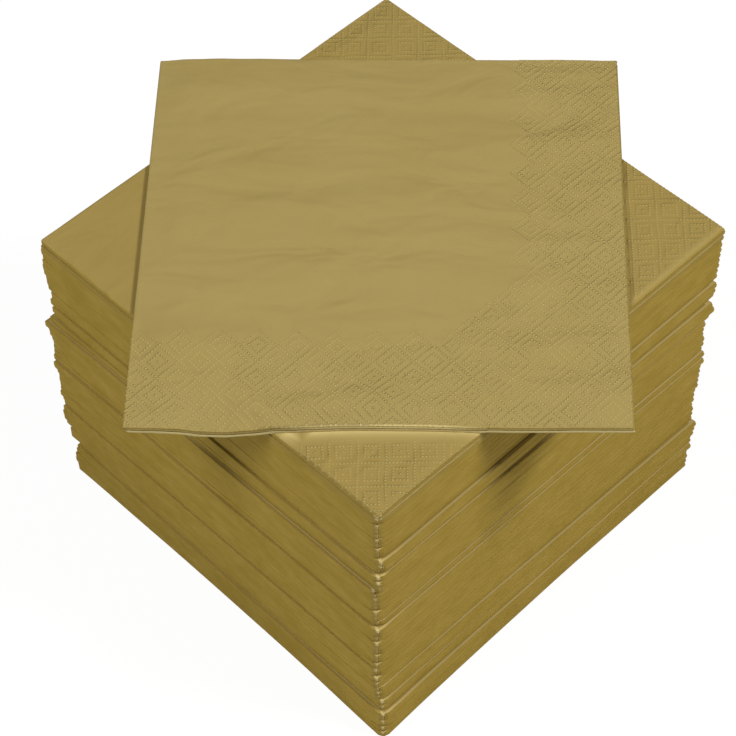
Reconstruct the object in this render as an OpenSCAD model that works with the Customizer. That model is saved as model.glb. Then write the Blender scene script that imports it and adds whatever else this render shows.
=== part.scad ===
// A squared stack of quarter-folded paper napkins, with one more lying askew on top.
// X and Y run along the sides of the stack, Z is up, and the origin is the middle of its base.
// Every napkin is one square sheet folded twice. The first fold lies along its -X side and the
// second along its -Y side, so its +X and +Y sides are open and show the edges of the leaves.

/* [Napkin] */
// Side of a folded napkin
napkin_w = 127; // [100:1:210]
// Thickness of one leaf, with all its plies
leaf_t = 0.44; // [0.3:0.02:0.6]
// Air between neighbouring leaves in the stack
leaf_gap = 0.12; // [0.06:0.02:0.3]
// How far the outer leaf stops short of the inner one along the +X side
first_misfold = 0.2; // [0:0.1:2]
// How far the upper half stops short of the lower half along the +Y side
second_misfold = 0.6; // [0:0.1:2]

/* [Stack] */
// Napkins in the squared stack
stack_count = 49; // [20:1:59]
// Farthest that a napkin slides out of its bunch
slide = 0.1; // [0:0.05:0.6]
// Farthest that a napkin turns in its bunch, in degrees
swivel = 0.05; // [0:0.05:0.4]

/* [Top napkin] */
// Turn of the top napkin against the stack, in degrees
top_turn = -46; // [-90:1:90]
// Shift of its middle from the middle of the stack, along X and Y alike
top_shift = 1; // [0:0.1:1.2]
// Air between its leaves, which nothing presses together
top_gap = 0.24; // [0.1:0.02:0.5]
// How far its two near corners droop past the edge of the stack
near_droop = 1.6; // [0:0.1:5]
// How far its two far corners droop
far_droop = 0.4; // [0:0.1:5]

/* [Hidden] */
$fn = 48;
paper = [0.65, 0.56, 0.33];
overlap = 1;

napkin_h = 4 * leaf_t + 3 * leaf_gap;
stack_h = stack_count * napkin_h;

// How the stack has slipped, in bunches from the base up: the share of the stack that the bunch
// reaches to, its shift along X and along Y, and its turn in degrees
bunches = [
    [0.115, -0.2, -0.2, 0.1],
    [0.165, 0.6, -0.4, -0.1],
    [0.32, -0.9, -1.3, 0.1],
    [0.365, -0.8, -0.7, -0.1],
    [0.50, -1.0, -0.7, 0.1],
    [0.525, -0.2, -1.3, 0.1],
    [0.675, -0.7, -0.7, 0],
    [0.71, 0.2, 0.3, 0.2],
    [0.735, 0.8, -0.8, -0.1],
    [0.77, -0.6, 0.5, 0],
    [0.815, 0.5, 0.4, 0.1],
    [0.965, -0.5, 0.3, 0],
    [1.00, 0.3, 0, -0.1]
];

// One value from -1 to 1 for each napkin, for its own slip along X, along Y and round
slip_x = rands(-1, 1, stack_count, 11);
slip_y = rands(-1, 1, stack_count, 23);
slip_turn = rands(-1, 1, stack_count, 37);

function napkin_name(i) = str("napkin_", i < 10 ? "0" : "", i);

// Radii of the two folds. The first turns one leaf onto the next, the second turns a pair of
// leaves onto the other pair, and each closes on the air between the leaves inside it.
function first_fold_r(gap) = leaf_t + gap / 2;
function second_fold_r(gap) = 2 * leaf_t + 1.5 * gap;

// Distance of the middle of a pair of leaves from the axis of the second fold
function pair_r(gap) = leaf_t + gap;

// The inner leaf has the shorter way round the second fold, so it comes out this much farther
function creep(gap) = PI * pair_r(gap) / 2;

// Section of a pair of leaves joined by the first fold: X is the distance from the axis of the
// second fold, and Y runs from the first fold to the open side.
module pair_section(gap) {
    r1 = first_fold_r(gap);
    fold_y = -napkin_w / 2 + r1;
    translate([pair_r(gap), 0]) difference() {
        union() {
            translate([0, fold_y]) circle(r1);
            translate([-r1, fold_y]) square([2 * r1, napkin_w / 2 - fold_y]);
        }
        translate([0, fold_y]) circle(gap / 2);
        translate([-gap / 2, fold_y]) square([gap, napkin_w]);
        translate([0, napkin_w / 2 - first_misfold]) square([r1 + overlap, napkin_w]);
    }
}

// Section of the inner leaf of that pair
module inner_leaf_section(gap) {
    fold_y = -napkin_w / 2 + first_fold_r(gap);
    translate([gap / 2, fold_y]) square([leaf_t, napkin_w / 2 - fold_y]);
}

// A pair of leaves that runs straight along Y from the second fold, above its axis
module straight_pair(run, gap) {
    rotate([-90, -90, 0]) {
        linear_extrude(run - creep(gap)) pair_section(gap);
        linear_extrude(run) inner_leaf_section(gap);
    }
}

// One folded napkin, centred in X and Y, with its underside at Z 0
module napkin(gap) {
    r2 = second_fold_r(gap);
    run = napkin_w - r2;
    translate([0, -napkin_w / 2 + r2, r2]) {
        mirror([0, 0, 1]) straight_pair(run, gap);
        straight_pair(run - second_misfold, gap);
        rotate([90, 0, 90]) rotate_extrude(angle = 180, start = 90) pair_section(gap);
    }
}

function bunch(i) = [for (b = bunches) if (i / stack_count <= b[0]) b][0];

module stacked_napkin(i) {
    b = bunch(i);
    color(paper)
        translate([b[1] + slide * slip_x[i - 1], b[2] + slide * slip_y[i - 1], (i - 1) * napkin_h])
            rotate([0, 0, b[3] + swivel * slip_turn[i - 1]])
                napkin(leaf_gap);
}

// The top napkin has the same two folds, but its corners bend down past the edge of the stack,
// so it is drawn as one surface through points along its leaves.

// Points along a leaf, and round a fold
leaf_steps = 12;
fold_steps = 6;
path_count = 2 * leaf_steps + fold_steps + 1;

// Way round a fold, as [distance along the napkin, height above the axis of the fold]: in along
// the lower run from its end, round the fold at radius r, and out to the end of the upper run
function fold_path(r, fold_r, lower_end, upper_end) =
    let (fold_at = -napkin_w / 2 + fold_r)
    concat(
        [for (k = [0:leaf_steps - 1]) [lower_end + (fold_at - lower_end) * k / leaf_steps, -r]],
        [for (k = [0:fold_steps]) let (a = 180 * k / fold_steps)
            [fold_at - r * sin(a), -r * cos(a)]],
        [for (k = [1:leaf_steps]) [fold_at + (upper_end - fold_at) * k / leaf_steps, r]]
    );

// How far a point of the top napkin, given in its own X and Y, lies past the side of the stack
corner_reach = napkin_w / 2 * (sqrt(2) - 1);
bend_start = 3;
function droop_at(x, y) =
    let (
        sx = top_shift + x * cos(top_turn) - y * sin(top_turn),
        sy = top_shift + x * sin(top_turn) + y * cos(top_turn),
        past = max(abs(sx), abs(sy)) - napkin_w / 2 - bend_start,
        near = abs(sx) > abs(sy) ? sx > 0 : sy < 0
    )
    past <= 0 ? 0 : (near ? near_droop : far_droop) * pow(past / (corner_reach - bend_start), 2);

function bent(p) = [p[0], p[1], p[2] - droop_at(p[0], p[1])];

// Every point of one face of the paper, at distance offset from the middle of the pair
function face_points(offset) =
    let (
        open_end = napkin_w / 2,
        across = fold_path(offset, first_fold_r(top_gap), open_end, open_end - first_misfold)
    )
    [for (a = across)
        let (
            r = pair_r(top_gap) + a[1],
            leaf_end = open_end - (a[1] > 0 ? creep(top_gap) : 0)
        )
        for (b = fold_path(r, second_fold_r(top_gap), leaf_end, leaf_end - second_misfold))
            bent([a[0], b[0], b[1]])];

function quad(a, b, c, d) = [[a, b, c], [a, c, d]];
function spot(face, i, j) = face * path_count * path_count + i * path_count + j;

module top_napkin() {
    last = path_count - 1;
    points = concat(face_points(first_fold_r(top_gap)), face_points(top_gap / 2));
    faces = concat(
        [for (i = [0:last - 1], j = [0:last - 1])
            each quad(spot(0, i, j), spot(0, i, j + 1), spot(0, i + 1, j + 1), spot(0, i + 1, j))],
        [for (i = [0:last - 1], j = [0:last - 1])
            each quad(spot(1, i, j), spot(1, i + 1, j), spot(1, i + 1, j + 1), spot(1, i, j + 1))],
        [for (j = [0:last - 1])
            each quad(spot(0, 0, j), spot(1, 0, j), spot(1, 0, j + 1), spot(0, 0, j + 1))],
        [for (j = [0:last - 1])
            each quad(spot(0, last, j), spot(0, last, j + 1), spot(1, last, j + 1), spot(1, last, j))],
        [for (i = [0:last - 1])
            each quad(spot(0, i, 0), spot(0, i + 1, 0), spot(1, i + 1, 0), spot(1, i, 0))],
        [for (i = [0:last - 1])
            each quad(spot(0, i, last), spot(1, i, last), spot(1, i + 1, last), spot(0, i + 1, last))]
    );
    color(paper)
        translate([top_shift, top_shift, stack_h + second_fold_r(top_gap)])
            rotate([0, 0, top_turn])
                polyhedron(points, faces);
}

for (i = [1:stack_count])
    stacked_napkin(i);
top_napkin();
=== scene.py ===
from math import copysign, cos, hypot, pi, radians, sin, sqrt

import bmesh
import bpy
from mathutils import Matrix, Vector, noise


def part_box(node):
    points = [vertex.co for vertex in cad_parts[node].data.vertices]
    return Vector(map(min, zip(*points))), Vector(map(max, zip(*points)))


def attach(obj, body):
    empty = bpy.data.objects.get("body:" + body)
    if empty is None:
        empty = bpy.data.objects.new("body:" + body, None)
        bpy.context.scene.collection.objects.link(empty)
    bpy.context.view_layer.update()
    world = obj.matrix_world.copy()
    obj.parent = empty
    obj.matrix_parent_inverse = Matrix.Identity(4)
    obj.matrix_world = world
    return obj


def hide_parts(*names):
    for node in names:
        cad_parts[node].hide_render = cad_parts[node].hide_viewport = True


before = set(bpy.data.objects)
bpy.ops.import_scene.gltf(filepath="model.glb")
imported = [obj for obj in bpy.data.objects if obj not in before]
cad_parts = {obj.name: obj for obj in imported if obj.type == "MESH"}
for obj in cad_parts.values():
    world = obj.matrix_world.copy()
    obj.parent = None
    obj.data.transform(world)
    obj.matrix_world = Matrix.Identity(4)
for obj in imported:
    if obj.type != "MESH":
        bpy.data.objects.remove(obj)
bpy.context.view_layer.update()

# A stack of quarter-folded gold tissue napkins. Each one starts as a flat sheet, gets its
# dotted border pressed in, and is then folded twice, so every leaf and fold is really there.

mm = 0.001
scene = bpy.context.scene
napkinNodes = sorted(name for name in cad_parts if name.startswith("napkin_"))
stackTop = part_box(napkinNodes[-1])[1].z


# Camera: where the photograph was taken from

photoView = {
    "pictureWidth": 736,      # pixels
    "focalLength": 2584,      # pixels
    "azimuth": 46.93,         # degrees, 0 looks along +Y
    "elevation": 51.81,
    "roll": -1.84,
    "distance": 723.3 * mm,
    "target": Vector((-1.3, -4.3, 50.4)) * mm,
    "sensor": 36.0,
    "nearest": 10 * mm,
}


def addCamera(view):
    data = bpy.data.cameras.new("photoCamera")
    data.sensor_width = view["sensor"]
    data.lens = view["focalLength"] / view["pictureWidth"] * view["sensor"]
    data.clip_start = view["nearest"]
    azimuth, elevation = radians(view["azimuth"]), radians(view["elevation"])
    back = Vector((sin(azimuth) * cos(elevation), -cos(azimuth) * cos(elevation), sin(elevation)))
    right = Vector((cos(azimuth), sin(azimuth), 0))
    axes = Matrix((right, back.cross(right), back)).transposed().to_4x4()
    place = Matrix.Translation(view["target"] + back * view["distance"])
    camera = bpy.data.objects.new("photoCamera", data)
    camera.matrix_world = place @ axes @ Matrix.Rotation(radians(view["roll"]), 4, "Z")
    scene.collection.objects.link(camera)
    scene.camera = camera


addCamera(photoView)
print("camera placed")


# Shader maths: a wire is one output, and expressions on wires add Math nodes

class Wire:
    def __init__(self, graph, socket):
        self.graph = graph
        self.socket = socket

    def __add__(self, other):
        return self.graph.maths("ADD", self, other)

    def __radd__(self, other):
        return self.graph.maths("ADD", other, self)

    def __sub__(self, other):
        return self.graph.maths("SUBTRACT", self, other)

    def __rsub__(self, other):
        return self.graph.maths("SUBTRACT", other, self)

    def __mul__(self, other):
        return self.graph.maths("MULTIPLY", self, other)

    def __rmul__(self, other):
        return self.graph.maths("MULTIPLY", other, self)


class Graph:
    def __init__(self, owner):
        owner.use_nodes = True
        self.tree = owner.node_tree
        self.tree.nodes.clear()

    def add(self, kind, settings=None, inputs=None, out=0):
        node = self.tree.nodes.new(kind)
        for key, value in (settings or {}).items():
            setattr(node, key, value)
        for key, value in (inputs or {}).items():
            if isinstance(value, Wire):
                self.tree.links.new(value.socket, node.inputs[key])
            else:
                node.inputs[key].default_value = value
        return Wire(self, node.outputs[out]) if node.outputs else node

    def maths(self, operation, *values):
        return self.add("ShaderNodeMath", {"operation": operation}, dict(enumerate(values)))

    def split(self, vector):
        node = self.add("ShaderNodeSeparateXYZ", {}, {"Vector": vector}).socket.node
        return [Wire(self, out) for out in node.outputs]

    def noise(self, where, scale, detail=3.0, roughness=0.5, twist=0.0):
        return self.add("ShaderNodeTexNoise", {}, {
            "Vector": where, "Scale": scale, "Detail": detail, "Roughness": roughness,
            "Distortion": twist})

    def blend(self, factor, a, b):
        return self.add("ShaderNodeMix", {"data_type": "RGBA"}, {0: factor, 6: a, 7: b}, out=2)

    def stretch(self, where, scale):
        return self.add("ShaderNodeMapping", {}, {"Vector": where, "Scale": scale})

    def attribute(self, name):
        return self.add("ShaderNodeAttribute", {"attribute_name": name}, out="Fac")


# Tissue

tissue = {
    "gold": (0.345, 0.266, 0.098, 1),
    "deepGold": (0.312, 0.228, 0.068, 1),   # where the dye took more
    "side": (0.430, 0.300, 0.064, 1),       # pressed leaf edges and folds, seen end on, in painted shade between the plies
    "sideDeep": (0.345, 0.234, 0.038, 1),
    "paintedHighlight": (0.660, 0.540, 0.240, 1),        # painted highlight on cut edges that stand clear
    "dotHighlight": (0.660, 0.520, 0.190, 1),     # painted highlight on the raised dots of the border
    "dotHighlightShare": 0.8,                         # how much of that colour a dot shows
    "roughness": 0.8,
    "dullest": 0.1,                         # how much rougher the clouds in the dye are
    "shine": 0.04,
    "dotHeight": 0.42 * mm,
    "lineHeight": 0.06 * mm,
    "wrinkleHeight": 2.0 * mm,
    "creaseHeight": 0.10 * mm,
    "fibreHeight": 0.035 * mm,

    # noises as scale, detail, roughness and distortion
    "cloud": (38, 4, 0.55),
    "speck": (900, 2, 0.7),
    "speckShare": 0.4,                      # the rest of the dye's unevenness is clouds
    "mottle": (130, 4, 0.65),               # of the sides
    "mottleFrom": 0.35,
    "mottleContrast": 2.2,
    "worn": (70, 3, 0.6),                   # patches where the border is pressed less
    "wornFrom": 0.25,
    "wornContrast": 3.2,
    "wornLeast": 0.35,
    "crease": (160, 4, 0.6),
    "fibre": (2300, 3, 0.6),
    "acrossLeaf": (1, 1, 2.2),              # mottle and fibres are finer from leaf to leaf
    "wrinkle": (1, 2, 0.5, 0.8),
    "acrossSheet": (20, 8, 1),              # scale of the wrinkles on the flat sheet
}

# The napkins of the stack are a little darker, deeper gold than the loose one
stackTissue = dict(tissue, gold=(0.314, 0.231, 0.073, 1), deepGold=(0.284, 0.198, 0.050, 1))

# The pressed border is a lattice of squares set on their corners, each with a smaller square
# and a dot inside, all of it in rows of dots
border = {
    "sheetSide": 254 * mm,
    "dotPitch": 0.875 * mm,      # along a row of dots, which runs at 45 degrees to the edge
    "cellDots": 8,               # dots along the side of a square
    "cellsWide": 6,              # half squares from the edge to the points of the border
    "cornerCells": 14,           # and half squares along both edges together in the corner
    "ridgeHeight": 0.36 * mm,
    "wander": 1.2,               # how far a dot strays, in dots
    "wanderScales": (130, 170),
}
dotStep = border["dotPitch"] / sqrt(2)
halfSquare = border["cellDots"] * dotStep


def pressedBorder(g, where):
    # The dots and the lines of the border as heights from 0 to 1, on the flat sheet's own UV map
    flat = g.split(g.add("ShaderNodeUVMap", {"uv_map": "sheet"}))
    steps = border["sheetSide"] / dotStep
    stray = [(g.noise(where, scale, 1) - 0.5) * border["wander"]
             for scale in border["wanderScales"]]
    p = (0.5 - g.maths("ABSOLUTE", flat[0] - 0.5)) * steps + stray[0]
    q = (0.5 - g.maths("ABSOLUTE", flat[1] - 0.5)) * steps + stray[1]
    squares = border["cellDots"]
    rows, inCell, centre = [(p + q) * 0.5, (p - q) * 0.5], [], []
    for row in rows:
        middle = g.maths("ROUND", row * (1 / squares)) * squares
        centre.append(middle)
        inCell.append(g.maths("ABSOLUTE", row - middle))
    ring = g.maths("MAXIMUM", inCell[0], inCell[1])
    dotted = 1 - g.maths("MODULO", g.maths("ROUND", ring), 2)
    lines = g.maths("COSINE", ring * pi) * 0.5 + 0.5
    dots = [g.maths("COSINE", row * (2 * pi)) * 0.5 + 0.5 for row in rows]
    pc, qc = centre[0] + centre[1], centre[0] - centre[1]
    inner = (border["cellsWide"] - 1) * squares + 1
    corner = border["cornerCells"] * squares + 1
    nearEdge = g.maths("LESS_THAN", g.maths("MINIMUM", pc, qc), inner)
    nearCorner = g.maths("LESS_THAN", pc + qc, corner)
    pressed = g.maths("MAXIMUM", nearEdge, nearCorner)
    return dots[0] * dots[1] * dotted * pressed, lines * pressed


def makeTissue(name, look):
    material = bpy.data.materials.new(name)
    g = Graph(material)
    where = g.add("ShaderNodeTexCoord", out="Object")
    acrossLeaf = g.stretch(where, look["acrossLeaf"])
    paintedLight, relief = g.attribute("paintedLight"), g.attribute("relief")

    worn = (g.noise(where, *look["worn"]) - look["wornFrom"]) * look["wornContrast"]
    worn = g.maths("MAXIMUM", g.maths("MINIMUM", worn, 1), look["wornLeast"])
    dots, lines = [pattern * relief * worn for pattern in pressedBorder(g, where)]

    cloud, speck = g.noise(where, *look["cloud"]), g.noise(where, *look["speck"])
    dye = speck * look["speckShare"] + cloud * (1 - look["speckShare"])
    plain = g.blend(dye, look["gold"], look["deepGold"])
    # raised dots get a painted highlight in the paler dot colour
    plain = g.blend(dots * look["dotHighlightShare"], plain, look["dotHighlight"])
    mottle = (g.noise(acrossLeaf, *look["mottle"]) - look["mottleFrom"]) * look["mottleContrast"]
    side = g.blend(mottle, look["sideDeep"], look["side"])
    # painted light from the mesh: above 0 the side colour goes in as painted shade, below 0 the
    # pale colour as a painted highlight
    colour = g.blend(g.maths("MAXIMUM", paintedLight, 0), plain, side)
    colour = g.blend(g.maths("MAXIMUM", paintedLight * -1, 0), colour, look["paintedHighlight"])

    # heights in mm, as the bump's distance is 1 mm
    flat = g.add("ShaderNodeUVMap", {"uv_map": "sheet"})
    crease, fibre = g.noise(where, *look["crease"]), g.noise(acrossLeaf, *look["fibre"])
    wrinkle = (g.noise(g.stretch(flat, look["acrossSheet"]), *look["wrinkle"]) - 0.5) * relief
    height = crease * (look["creaseHeight"] / mm) + fibre * (look["fibreHeight"] / mm)
    height = height + dots * (look["dotHeight"] / mm) + lines * (look["lineHeight"] / mm)
    height = height + wrinkle * (look["wrinkleHeight"] / mm)
    bump = g.add("ShaderNodeBump", {}, {"Height": height, "Distance": mm, "Strength": 1.0})
    shader = g.add("ShaderNodeBsdfPrincipled", {}, {
        "Base Color": colour,
        "Roughness": cloud * look["dullest"] + look["roughness"],
        "Normal": bump,
        "Specular IOR Level": look["shine"],
    })
    g.add("ShaderNodeOutputMaterial", {}, {"Surface": shader})
    return material


goldTissue = makeTissue("goldTissue", tissue)
deepTissue = makeTissue("deepTissue", stackTissue)
print("tissue materials made")


# Folding: a flat sheet becomes four leaves with two first folds and one second fold

stackForm = {
    "side": 127 * mm,           # of the folded napkin
    "leaf": 0.524 * mm,         # a leaf is three plies, and here they are pressed close
    "pitch": 0.53 * mm,         # from leaf to leaf in a pair
    "pairGap": 0.006 * mm,      # air between the two pairs
    "firstMisfold": 0.04 * mm,
    "secondMisfold": 0.3 * mm,
    "tuck": 1.0 * mm,           # how far the inner leaves are drawn back from the +Y side
    "foldCorner": 0,            # radius at which a pressed fold turns
    "foldBulge": 0.03 * mm,     # of its back
    "foldLean": 0,
    "plainSteps": 14,
    "edgeSteps": (6.0 * mm, 2.0 * mm, 0.6 * mm, 0.2 * mm),
}

# Nothing presses on the folds of the uppermost one of the stack
uppermostForm = dict(stackForm, foldCorner=0.3 * mm, foldBulge=0, plainSteps=26)

topForm = {
    "side": 127 * mm,
    "leaf": 0.44 * mm,
    "pitch": 0.46 * mm,
    "pairGap": 0.38 * mm,
    "firstMisfold": 0.1 * mm,
    "secondMisfold": 0.2 * mm,
    "tuck": 0.6 * mm,
    "foldCorner": 0.2 * mm,
    "foldBulge": 0,
    "foldLean": 0.6 * mm,       # the upper leaves reach past the lower ones at the fold
    "plainSteps": 31,
    "edgeSteps": (6.0 * mm, 2.0 * mm, 0.6 * mm),
}

besideFold = (0.6 * mm, 2.0 * mm, 6.0 * mm)   # lines of the mesh lie closer there
leanReach = 20 * mm
reliefFade = 12         # nothing is pressed into a side or a rim
stopDigits = 7          # to which the mesh's lines beside a fold are rounded
tiny = 10 ** -stopDigits


def eased(share):
    share = min(1, max(0, share))
    return share * share * (3 - 2 * share)


def bell(distance, reach):
    return 2.7 ** (-(distance / reach) ** 2)


def foldLength(r, corner):
    return r - corner + corner * pi / 2


def turnedBack(s, r, outerR, form):
    # Bends one line of the sheet round a pressed fold at the -side / 2 end. s is the distance
    # along the sheet from the middle of the fold, and the leaf ends up at height r or -r.
    corner = min(form["foldCorner"], r)
    back = -form["side"] / 2 + form["leaf"] / 2 + outerR - r
    half = foldLength(r, corner)
    way = abs(s)
    if way >= half - tiny:
        return back + corner + way - half, copysign(r, s)
    if way <= r - corner:
        return back - form["foldBulge"] * (1 - (s / r) ** 2), s
    angle = (way - r + corner) / corner
    return back + corner * (1 - cos(angle)), copysign(r - corner + corner * sin(angle), s)


def foldStops(radii, corner):
    # where the mesh needs lines to turn round a fold
    stops = set()
    for r in radii:
        turn = min(corner, r)
        before = r - turn
        for stop in (before / 2, before, before + turn * pi / 4, before + turn * pi / 2):
            stops.add(round(stop, stopDigits))
    return sorted(stop for stop in stops if stop > 0.01 * mm)


def linesAcross(reach, stops, form, bordered):
    # Distances from a fold to the lines of the flat mesh, out to the edge of the sheet
    if bordered:
        wide = border["cellsWide"] + 2
        last = [reach - halfSquare * k for k in range(wide, -1, -1)]
    else:
        last = [reach - back for back in form["edgeSteps"]] + [reach]
    first = [stops[-1] + back for back in besideFold]
    span = last[0] - first[-1]
    steps = form["plainSteps"]
    plain = [first[-1] + span * k / steps for k in range(1, steps)]
    return stops + first + plain + last


def inBorder(fromU, fromV):
    wide = border["cellsWide"] * halfSquare
    return min(fromU, fromV) < wide or fromU + fromV < (border["cornerCells"] + 2) * halfSquare


def ridgeHeight(fromU, fromV):
    # Height of the pressed squares at a point of the flat sheet, from its distances to the edges
    squares = border["cellDots"]
    centre, inCell = [], []
    for row in ((fromU + fromV) / 2 / dotStep, (fromU - fromV) / 2 / dotStep):
        middle = round(row / squares) * squares
        centre.append(middle)
        inCell.append(abs(row - middle))
    pc, qc = centre[0] + centre[1], centre[0] - centre[1]
    inner, corner = (border["cellsWide"] - 1) * squares, border["cornerCells"] * squares
    if min(pc, qc) > inner and pc + qc > corner:
        return 0
    return border["ridgeHeight"] * abs(cos(pi * max(inCell))) / 2


def napkinMesh(name, form, pressed, settle, paintedLightAt):
    # pressed says whether the border of the upper leaf is modelled. settle moves a folded point to
    # its place, and the last function gives it painted light: 1 paints the side colour in as shade,
    # 0 leaves the gold, and -1 paints the pale colour in as a highlight on a clear rim.
    side, pitch, leaf, corner = form["side"], form["pitch"], form["leaf"], form["foldCorner"]
    pairR = (pitch + leaf + form["pairGap"]) / 2
    innerR, outerR = pairR - pitch / 2, pairR + pitch / 2

    # how much of the sheet reaches each open side
    reachInner = side - leaf / 2 - corner + foldLength(pitch / 2, corner)
    reachOuter = reachInner - form["firstMisfold"]
    reachLower = side - leaf / 2 - pitch - corner + foldLength(innerR, corner) + form["tuck"]
    reachUpper = reachLower - form["secondMisfold"]
    firstStops = foldStops((pitch / 2,), corner)
    secondStops = foldStops((innerR, outerR), corner)

    left = linesAcross(reachOuter, firstStops, form, pressed)
    right = linesAcross(reachInner, firstStops, form, False)
    down = linesAcross(reachLower, secondStops, form, False)
    up = linesAcross(reachUpper, secondStops, form, pressed)
    acrossLines = [-s for s in reversed(left)] + [0] + right
    alongLines = [-s for s in reversed(down)] + [0] + up

    bm = bmesh.new()
    cols, rows = len(acrossLines) - 1, len(alongLines) - 1
    bmesh.ops.create_grid(bm, x_segments=cols, y_segments=rows, size=0.5)
    for v in bm.verts:
        v.co.x = acrossLines[round((v.co.x + 0.5) * cols)]
        v.co.y = alongLines[round((v.co.y + 0.5) * rows)]

    def isPressed(p):
        return pressed and p.x < 0 < p.y and inBorder(reachOuter + p.x, reachUpper - p.y)

    # the border is cut as fine as its dots
    inside = [f for f in bm.faces if isPressed(f.calc_center_median())]
    if inside:
        edges = list(dict.fromkeys(e for f in inside for e in f.edges))
        bmesh.ops.subdivide_edges(bm, edges=edges, cuts=border["cellDots"] - 1, use_grid_fill=True)

    # cut edges and square folds stay crisp once the leaf has its thickness
    creases = {0: firstStops[-1], 1: secondStops[-1]}
    for e in bm.edges:
        a, b = (v.co for v in e.verts)
        square = any(abs(abs(a[k]) - stop) < tiny and abs(a[k] - b[k]) < tiny
                     for k, stop in creases.items())
        e.smooth = not (e.is_boundary or (square and not corner))
    uvLayer = bm.loops.layers.uv.new("sheet")
    paintedLight = bm.verts.layers.float.new("paintedLight")
    relief = bm.verts.layers.float.new("relief")
    for f in bm.faces:
        f.smooth = True
        for loop in f.loops:
            p = loop.vert.co
            loop[uvLayer].uv = ((p.x + reachOuter) / (reachOuter + reachInner),
                                (p.y + reachLower) / (reachLower + reachUpper))

    for v in bm.verts:
        flat = v.co.copy()
        x, q = turnedBack(-flat.x, pitch / 2, pitch / 2, form)
        y, z = turnedBack(flat.y, pairR + q, outerR, form)
        if isPressed(flat) and abs(z) > 0.98 * outerR:
            z += ridgeHeight(reachOuter + flat.x, reachUpper - flat.y)
        if abs(z) < outerR - pitch / 2:
            y -= form["tuck"] * eased(2 * y / side)
        y -= form["foldLean"] * z / outerR * max(0, 1 - (y + side / 2) / leanReach)
        # painted shade and highlight for the colour, which also keeps the border's relief off sides
        # and rims
        v[paintedLight] = paintedLightAt(x, y, z)
        v[relief] = max(0, 1 - abs(v[paintedLight]) * reliefFade)
        v.co = settle(Vector((x, y, z)))
    mesh = bpy.data.meshes.new(name)
    bm.normal_update()
    bm.to_mesh(mesh)
    bm.free()
    return mesh


def addNapkin(mesh, material, node, form):
    piece = bpy.data.objects.new(mesh.name, mesh)
    scene.collection.objects.link(piece)
    mesh.materials.append(material)
    thick = piece.modifiers.new("leafThickness", "SOLIDIFY")
    thick.thickness = form["leaf"]
    thick.offset = 0
    thick.use_even_offset = not form["foldCorner"]
    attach(piece, "root")
    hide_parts(node)
    return piece


# Where the napkins lie

def nodePlace(node, firstCorner):
    # Middle, turn and height of a napkin, from its solid's four corners
    points = [v.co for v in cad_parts[node].data.vertices]
    corners = []
    for k in range(4):
        angle = radians(firstCorner + 90 * k)
        towards = Vector((cos(angle), sin(angle), 0))
        corners.append(max(points, key=lambda p: p.dot(towards)))
    middle = sum(corners, Vector()) / 4
    across = corners[0] - corners[2]
    turn = Vector((across.x, across.y)).angle_signed(Vector((1, 1)))
    low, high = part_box(node)
    return {"middle": middle, "turn": turn, "low": low.z, "high": high.z}


places = [nodePlace(node, 45) for node in napkinNodes]
loose = nodePlace("top_napkin", -1)
loose["middle"].z = 0
loose["front"] = Matrix.Rotation(loose["turn"], 3, "Z") @ Vector((1, 0, 0))


def flushPlace(number):
    # a napkin lies flush with the neighbours in its block
    own = places[number - 1]
    near = [place for place in places[max(0, number - 3):number + 2]
            if (place["middle"] - own["middle"]).xy.length < drift["flushWithin"]]
    middle = sum((place["middle"] for place in near), Vector()) / len(near)
    return dict(own, middle=middle, turn=sum(place["turn"] for place in near) / len(near))


def standsOut(number):
    # how much farther out, in mm, the near corner of a napkin is than those of its neighbours
    own, below, above = [places[min(len(places), max(1, k)) - 1]["middle"]
                         for k in (number, number - 1, number + 1)]
    return (2 * (own.x - own.y) - (below.x - below.y) - (above.x - above.y)) / mm


# Two places on the edge of the stack that the loose napkin presses down: middle, depth and reach
dents = [
    (Vector((25.7, -63.5)) * mm, 1.2 * mm, 13 * mm),
    (Vector((63.5, -25.9)) * mm, 0.5 * mm, 8 * mm),
]


def dentAt(x, y):
    return sum(depth * bell(hypot(x - at.x, y - at.y), reach) for at, depth, reach in dents)


# Stack

# Some blocks are a little out of square: up to this share of the height, the shifts in mm of
# the corners at +X-Y, +X+Y, -X+Y and -X-Y
blockCorners = [
    (0.115, (1.5, -1.4), (-0.7, -0.7), (0, 0), (-0.5, -0.2)),
    (0.165, (0, -0.2), (-1.1, -0.3), (0, 0), (0.4, 0.4)),
    (0.215, (0.5, -0.2), (1.5, 0.5), (0, 0), (0.4, 0.4)),
    (0.30, (0, 0), (0, 0), (0, 0), (-0.4, -0.3)),
    (0.36, (0, 0), (0, 0), (0, 0), (-0.7, -0.5)),
    (0.46, (0, 0), (0.2, 0.2), (0, 0), (-0.4, -0.3)),
    (0.49, (0, 0), (0.2, 0.2), (0, 0), (-0.8, -0.7)),
    (0.53, (0.5, 0), (0.9, 0.4), (0, 0), (-0.8, -0.7)),
    (0.66, (0, 0), (0.1, 0.1), (0, 0), (-0.5, -0.5)),
    (0.70, (0, -0.5), (-0.3, 1.6), (0, 0.8), (-0.9, -1.3)),
    (0.73, (-0.3, 0.5), (-0.6, 1.0), (0, 0.5), (-0.3, 0.2)),
    (0.75, (0.5, -0.2), (-0.3, 1.4), (0.1, 0.8), (0, -0.5)),
    (0.80, (0, -0.2), (-0.8, 1.3), (0.1, 0.8), (0, -0.5)),
    (0.97, (0, 0), (-0.8, 2.7), (0.1, 1.4), (0, -0.4)),
    (0.985, (0.5, 0.1), (-0.4, 2.8), (0.1, 1.4), (0, -0.3)),
    (1.00, (0, 0), (-0.8, 2.8), (0.1, 1.4), (-0.1, -0.3)),
]

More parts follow.
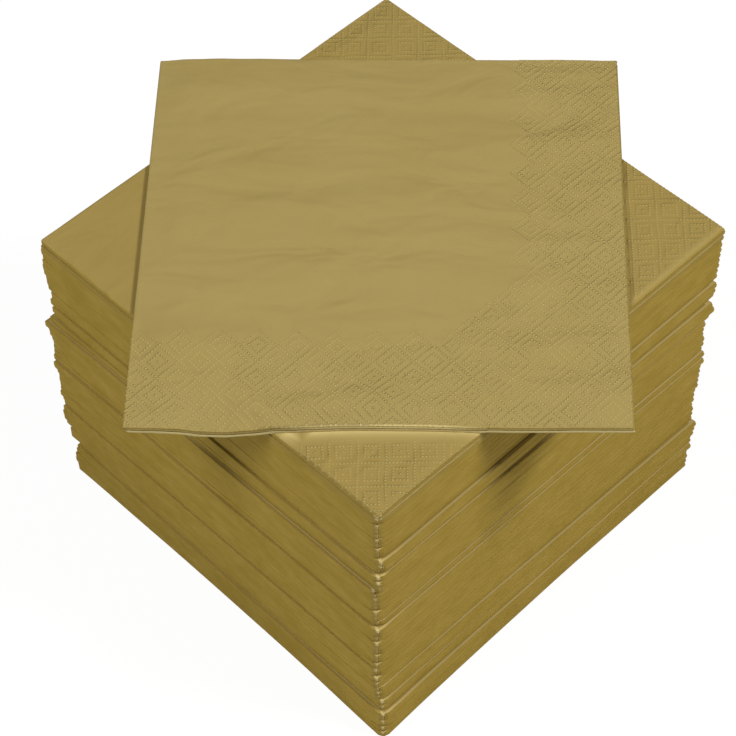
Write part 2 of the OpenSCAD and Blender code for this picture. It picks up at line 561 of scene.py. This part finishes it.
drift = {
    "seed": 5,
    "sideways": 0.22 * mm,      # how far the edges of neighbouring napkins wander in and out
    "length": 30 * mm,
    "napkins": 6,               # how many neighbours wander together
    "bow": 0.30 * mm,           # how far the layers wander up and down
    "bowLength": 60 * mm,
    "bowLayer": 34 * mm,
    "cornerPush": 0.5 * mm,     # corners stand out by more
    "cornerReach": 4 * mm,
    "cornerRound": 0.6 * mm,    # the one where both folds end is blunt, and lifts its lips
    "roundReach": 1.5 * mm,
    "lip": 0.08 * mm,
    "curl": 0.45 * mm,          # the two uppermost napkins curl down at their open side
    "curlReach": 2.2 * mm,
    "waist": 0.7 * mm,          # the lowest ones are drawn in between the corners
    "waistNapkins": 6,
    "dentFade": 4,              # how fast a dent fades downwards
    "flushWithin": 0.3 * mm,    # napkins of a block lie this near each other, and get flush
}
noise.seed_set(drift["seed"])   # without it, noise_vector takes its seed from the clock

# Painted light on the stack: 1 paints the side colour in as shade, 0 leaves the gold, below 0
# paints the pale colour in as a highlight
stackPaintedLight = {
    "edgeReach": 0.12 * mm,
    "edge": 1,
    "outerEdge": 0.85,          # of the outer leaves
    "looseEdge": 0.6,           # of the two uppermost napkins
    "clearEdge": -0.5,          # and the open edge of the lower one of them, painted as a highlight
    "ledge": -0.4,              # a ledge gets a painted highlight at its edge and painted shade in its corner
    "ledgeReach": 1 * mm,
    "topEdge": -0.15,           # painted highlight along the open side of the uppermost one
    "topEdgeReach": 2.4 * mm,
    "inFront": -0.75,           # painted highlight just in front of the loose napkin, and a little under it
    "inFrontReach": 1.3 * mm,
    "underReach": 1 * mm,
    "lipReach": 0.8 * mm,       # lips of the near corner get a painted highlight, paler where they stand out
    "lip": -0.3,
    "lipPerMm": -0.5,
    "lipRange": (-0.9, -0.2),
    # painted shade under the lips
    "lipBelow": 0.5,
    "topLip": -0.9,
    "topLipReach": 1.6 * mm,
}


def wobble(number, pace, lane, depth):
    # a value from about -1 to 1 that wanders from napkin to napkin
    return noise.noise(Vector((number * pace, lane, depth)))


def stackedNapkin(number, node):
    place = flushPlace(number)
    middleZ = (place["low"] + place["high"]) / 2
    lay = Matrix.Translation((place["middle"].x, place["middle"].y, 0)) \
        @ Matrix.Rotation(place["turn"], 4, "Z")
    half = stackForm["side"] / 2
    fromTop = len(napkinNodes) - number
    form = stackForm if fromTop else uppermostForm
    push = {}
    for k, towards in enumerate(((1, -1), (1, 1), (-1, 1), (-1, -1))):
        push[towards] = wobble(number, 0.47, 20 * k, 0.3) * drift["cornerPush"]
    lift = drift["lip"] * (1 + 2 * wobble(number, 0.45, 9, 9))
    blunt = drift["cornerRound"] * (1 + wobble(number, 0.6, 7, 7))
    waist = drift["waist"] * max(0, 1 - (number - 1) / drift["waistNapkins"])
    share = (number - 0.5) / len(napkinNodes)
    shifts = [row for row in blockCorners if share <= row[0]][0][1:]

    # painted highlight on the lips of the near corner, paler the farther a napkin stands out
    lip, lipReach = stackPaintedLight["topLip"], stackPaintedLight["topLipReach"]
    if fromTop > 1:
        palest, darkest = stackPaintedLight["lipRange"]
        lip = stackPaintedLight["lip"] + stackPaintedLight["lipPerMm"] * standsOut(number)
        lip, lipReach = min(darkest, max(palest, lip)), stackPaintedLight["lipReach"]

    def reshape(p):
        # corners, waist and curl, in the napkin's own X and Y
        fx, fy = p.x / (2 * half) + 0.5, p.y / (2 * half) + 0.5
        weights = (fx * (1 - fy), fx * fy, (1 - fx) * fy, (1 - fx) * (1 - fy))
        sx, sy = (1 if p.x > 0 else -1), (1 if p.y > 0 else -1)
        away = hypot(half - abs(p.x), half - abs(p.y))
        out = push[sx, sy] * bell(away, drift["cornerReach"])
        if sx > sy:
            out += (lift * p.z / mm - blunt) * bell(away, drift["roundReach"])
        drawn = [waist * (1 - (b / half) ** 2) * a / half for a, b in ((p.x, p.y), (p.y, p.x))]
        p.x += sx * out - drawn[0] + mm * sum(w * shift[0] for w, shift in zip(weights, shifts))
        p.y += sy * out - drawn[1] + mm * sum(w * shift[1] for w, shift in zip(weights, shifts))
        if fromTop < 2 and p.z > 0:
            curled = max(0, 1 - (half - p.x) / drift["curlReach"])
            p.z -= drift["curl"] * curled * curled * p.z / (2 * stackForm["pitch"])

    def settle(p):
        reshape(p)
        here = lay @ p
        long = drift["length"]
        at = Vector((here.x / long, here.y / long, number / drift["napkins"]))
        shift = noise.noise_vector(at) * drift["sideways"]
        here.x += shift.x
        here.y += shift.y
        here.z = middleZ + p.z
        long = drift["bowLength"]
        at = Vector((here.x / long, here.y / long, here.z / drift["bowLayer"]))
        here.z += noise.noise(at) * drift["bow"] * max(0, sin(pi * min(1, here.z / stackTop)))
        here.z -= dentAt(here.x, here.y) * (here.z / stackTop) ** drift["dentFade"]
        return here

    def paintedLightAt(x, y, z):
        tones = stackPaintedLight
        if fromTop == 0 and z > stackForm["pitch"]:
            here = lay @ Vector((x, y, 0))
            ahead = (here - loose["middle"]).dot(loose["front"]) - half - topLie["stretch"]
            if ahead > -tones["underReach"]:
                return tones["inFront"] * 2.7 ** (-max(0, ahead) / tones["inFrontReach"])
        if hypot(half - x, half + y) < lipReach:
            return lip if z > 0 else tones["lipBelow"]
        inset = form["leaf"] / 2 + form["foldBulge"]
        side = min(half - x, half - y, half + x - inset, half + y - inset)
        if side < tones["edgeReach"]:
            if fromTop > 1:
                return tones["outerEdge" if abs(z) > 1.4 * form["pitch"] else "edge"]
            clear = fromTop == 1 and z > form["pitch"] and half - x < tones["edgeReach"]
            return tones["clearEdge" if clear else "looseEdge"]
        if fromTop:
            return tones["ledge"] if side < tones["ledgeReach"] else tones["edge"]
        return tones["topEdge"] * eased(1 - (half - x) / tones["topEdgeReach"])

    mesh = napkinMesh(f"foldedNapkin{number:02d}", form, fromTop == 0, settle, paintedLightAt)
    return addNapkin(mesh, deepTissue, node, form)


# Loose napkin

topLie = {
    "stretch": 0.8 * mm,        # the front edge reaches farther out than the others
    "wrinkle": 1.2 * mm,
    "wrinkleLong": 42 * mm,
    "wrinkleShort": 9 * mm,
    "pucker": 0.22 * mm,        # the pressed border cockles
    "puckerSize": 7 * mm,
    "puckerReach": 34 * mm,
    "frontFlat": 5 * mm,        # wrinkles die out towards the front edge
    "foldFlat": 9 * mm,         # and towards the fold on the left
    "farDroop": 0.4 * mm,
    "farReach": 26 * mm,
    "close": 0.34 * mm,         # how far the pairs of leaves close up on the right
    "closeReach": 20 * mm,      # from the front edge
    "closeFull": 0.625,         # and the share of the way to the right edge where it is full
    "foldClose": 0.38 * mm,     # and along the fold on the left
    "foldReach": 14 * mm,
    "stackCorner": 90.5 * mm,   # how far from its middle the near corner of the stack lies
    "bendBefore": 2 * mm,       # it starts to bend this far before the edge of the stack
}

# Sag of the front edge where it hangs past the stack: distance from its middle, and depth, in mm
frontSag = [(-63.5, 1.3), (-57, 1.5), (-51, 1.9), (-45, 2.9), (-39, 3.2), (-33, 2.5), (-27, 1.5),
            (27, 0.1), (33, 0.2), (39, 0.1), (51, -0.2), (63.5, -0.3)]

# Painted light on the loose napkin: 1 paints the side colour in as shade, below 0 paints the pale
# colour in as a highlight
topPaintedLight = {
    "frontReach": 0.35 * mm,    # painted highlight on the front edges of the leaves
    "frontBelow": -1,
    "frontMiddle": -0.9,        # painted highlight on the upper pair, turning to painted shade towards the corners
    "frontCorner": 0.2,
    "middleTo": 14 * mm,
    "cornerFrom": 30 * mm,
    "right": 0.4,               # painted shade on the leaves under the right edge
    "rightReach": 1.6 * mm,
}


def sagOfFront(y):
    at = y / mm
    for (y0, sag0), (y1, sag1) in zip(frontSag, frontSag[1:]):
        if at <= y1:
            return mm * (sag0 + (sag1 - sag0) * eased((at - y0) / (y1 - y0)))
    return mm * frontSag[-1][1]


def topNapkin(node):
    half = topForm["side"] / 2
    thick = 2 * (topForm["pitch"] + topForm["leaf"]) + topForm["pairGap"]
    middleZ = stackTop + thick / 2
    lay = Matrix.Translation(loose["middle"]) @ Matrix.Rotation(loose["turn"], 4, "Z")

    def sagAt(p, here):
        # how far the lower and the upper pair of leaves lie below the level of the stack
        foldClose = topLie["foldClose"] * eased(1 - (p.y + half) / topLie["foldReach"])
        if p.x < 0:
            over = max(0, max(abs(here.x), abs(here.y)) - half)
            sag = topLie["farDroop"] * (over / topLie["farReach"]) ** 2
            return sag, sag + foldClose
        sag = dentAt(here.x, here.y)
        bendAt = topLie["stackCorner"] - abs(p.y) - topLie["bendBefore"]
        if bendAt + topLie["bendBefore"] < half:
            share = eased((p.x - bendAt) / (half - bendAt))
            sag = sag * (1 - share) + sagOfFront(p.y) * share
        toRight, toFront = p.y / half / topLie["closeFull"], 1 - (half - p.x) / topLie["closeReach"]
        close = topLie["close"] * eased(toRight) * eased(toFront)
        return sag, sag + close + foldClose

    def liftAt(p):
        # wrinkles and cockling of the upper pair, which never sinks into the lower one
        at = Vector((p.x / topLie["wrinkleShort"], p.y / topLie["wrinkleLong"], 3.7))
        lift = 2 * topLie["wrinkle"] * max(0, 0.35 + noise.noise(at) / 2) ** 2
        at = Vector((p.x, p.y, 9 * mm)) / topLie["puckerSize"]
        edgy = eased(1 - (half - max(p.x, abs(p.y))) / topLie["puckerReach"])
        lift += (0.4 + noise.noise(at)) * topLie["pucker"] * (0.35 + edgy)
        fade = eased((half - p.x) / topLie["frontFlat"]) * eased((half + p.y) / topLie["foldFlat"])
        return lift * fade

    def settle(p):
        p.x += topLie["stretch"] * max(0, p.x) / half
        here = lay @ p
        lower, upper = sagAt(p, here)
        share = p.z / thick + 0.5
        lift = liftAt(p) if p.z > 0 else 0
        here.z = middleZ + p.z - lower * (1 - share) - upper * share + lift
        return here

    def paintedLightAt(x, y, z):
        tones = topPaintedLight
        if half - x < tones["frontReach"]:
            if z < 0:
                return tones["frontBelow"]
            share = eased((abs(y) - tones["middleTo"]) / (tones["cornerFrom"] - tones["middleTo"]))
            return tones["frontMiddle"] + (tones["frontCorner"] - tones["frontMiddle"]) * share
        if half - y < tones["rightReach"] and z < thick / 2 - topForm["leaf"]:
            return tones["right"]
        return 0

    mesh = napkinMesh("looseNapkin", topForm, True, settle, paintedLightAt)
    return addNapkin(mesh, goldTissue, node, topForm)


under = None
for number, node in enumerate(napkinNodes, 1):
    under = stackedNapkin(number, node).name
print("stack of", len(napkinNodes), "napkins folded")

topNapkin("top_napkin")
print("loose napkin laid on top")


# Studio: white floor that keeps a faint shadow, a lamp on either side and an even surround

studio = {
    "floorRadius": 2.5,
    "floorGrey": 0.75,
    "shadowShare": 0.08,      # how much of the floor's brightness comes from the lamps
    "lampLight": 0.8,         # what their light makes of white, and the floor's glow the rest
    "surround": 0.20,
    "lamps": {                # place, size and power
        "rightLamp": (Vector((0.635, 0.335, 1.08)), 0.30, 10.2),
        "leftLamp": (Vector((-0.12, -0.62, 1.10)), 0.45, 7.2),
    },
}


def cameraOrMirror(g):
    seen = g.add("ShaderNodeLightPath", out="Is Camera Ray")
    for other in ("Is Glossy Ray", "Is Transmission Ray"):
        seen = g.maths("MAXIMUM", seen, g.add("ShaderNodeLightPath", out=other))
    return seen


def makeFloor(look):
    bm = bmesh.new()
    bmesh.ops.create_circle(bm, cap_ends=True, segments=96, radius=look["floorRadius"])
    mesh = bpy.data.meshes.new("floor")
    bm.to_mesh(mesh)
    bm.free()
    floor = bpy.data.objects.new("floor", mesh)
    scene.collection.objects.link(floor)
    material = bpy.data.materials.new("paleFloor")
    g = Graph(material)
    grey, share = look["floorGrey"], look["shadowShare"]
    plain = g.add("ShaderNodeBsdfDiffuse", {}, {"Color": (grey, grey, grey, 1)})
    faint = g.add("ShaderNodeBsdfDiffuse", {}, {"Color": (share, share, share, 1)})
    rest = 1.0 - share * look["lampLight"]
    glow = g.add("ShaderNodeEmission", {}, {"Color": (1, 1, 1, 1), "Strength": rest})
    shown = g.add("ShaderNodeAddShader", {}, {0: faint, 1: glow})
    both = g.add("ShaderNodeMixShader", {}, {0: cameraOrMirror(g), 1: plain, 2: shown})
    g.add("ShaderNodeOutputMaterial", {}, {"Surface": both})
    mesh.materials.append(material)


def makeWorld(look):
    world = bpy.data.worlds.new("paleRoom")
    scene.world = world
    g = Graph(world)
    light = g.add("ShaderNodeBackground", {}, {"Color": (1, 1, 1, 1), "Strength": look["surround"]})
    shown = g.add("ShaderNodeBackground", {}, {"Color": (1, 1, 1, 1), "Strength": 1.0})
    both = g.add("ShaderNodeMixShader", {}, {0: cameraOrMirror(g), 1: light, 2: shown})
    g.add("ShaderNodeOutputWorld", {}, {"Surface": both})


def addLamp(name, place, size, power):
    data = bpy.data.lights.new(name, "AREA")
    data.shape = "DISK"
    data.size = size
    data.energy = power
    lamp = bpy.data.objects.new(name, data)
    towards = (Vector((0, 0, stackTop / 2)) - place).normalized()
    aim = towards.to_track_quat("-Z", "Y").to_matrix().to_4x4()
    lamp.matrix_world = Matrix.Translation(place) @ aim
    scene.collection.objects.link(lamp)


makeFloor(studio)
makeWorld(studio)
for name, lamp in studio["lamps"].items():
    addLamp(name, *lamp)
scene.view_settings.view_transform = "Standard"
print("studio lit")
